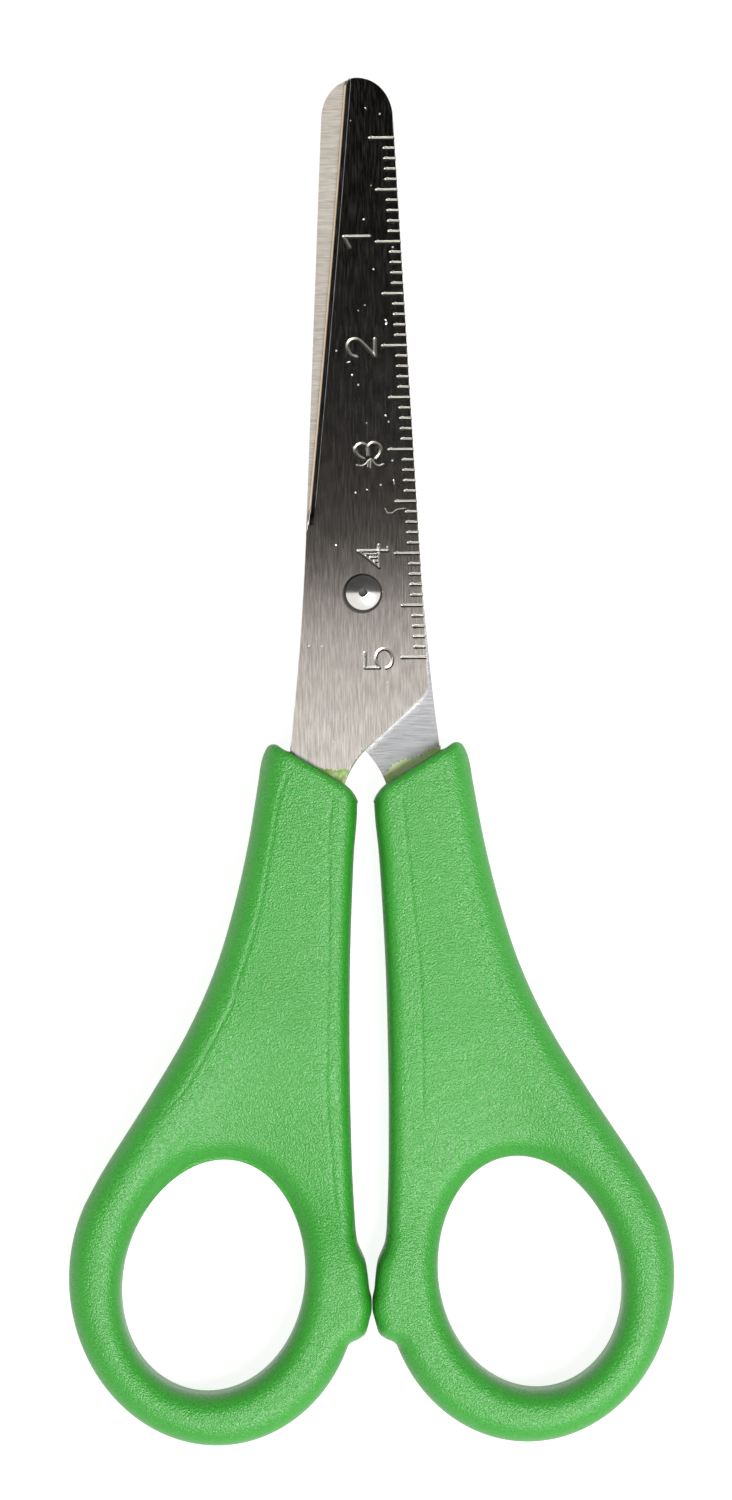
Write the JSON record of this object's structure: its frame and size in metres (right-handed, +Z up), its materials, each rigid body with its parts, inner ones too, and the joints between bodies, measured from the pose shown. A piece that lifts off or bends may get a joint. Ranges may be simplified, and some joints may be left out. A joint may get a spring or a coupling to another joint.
{
  "type": "straight-edged school scissors",
  "caption": "Blunt-tipped craft scissors with a stamped centimetre ruler on the front blade and moulded plastic finger loops, opening on a riveted pivot.",
  "frame": {"origin": "on the surface that the closed scissors lie on, under the middle of their bounding box", "axes": "+Y along the closed blades towards their tips, +X towards the right-hand finger loop, +Z up through the pivot rivet, out of the face with the ruler"},
  "size_m": [0.0582, 0.1314, 0.008],
  "materials": {
    "blade_steel": "lengthwise brushed stainless steel, crosswise ground flat on the inner face",
    "handle_plastic": "spark-eroded matte green moulded plastic",
    "rivet_steel": "polished nickel-plated steel"
  },
  "bodies": {
    "front_half": {"front_blade": "blade_steel", "front_handle": "handle_plastic", "pivot_rivet": "rivet_steel"},
    "rear_half": {"rear_blade": "blade_steel", "rear_handle": "handle_plastic"}
  },
  "joints": [
    {"name": "pivot", "type": "hinge", "parent": "front_half", "child": "rear_half", "pos_m": [0, 0.01612, 0.004], "axis": [0, 0, 1], "range_deg": [0, 130]}
  ]
}
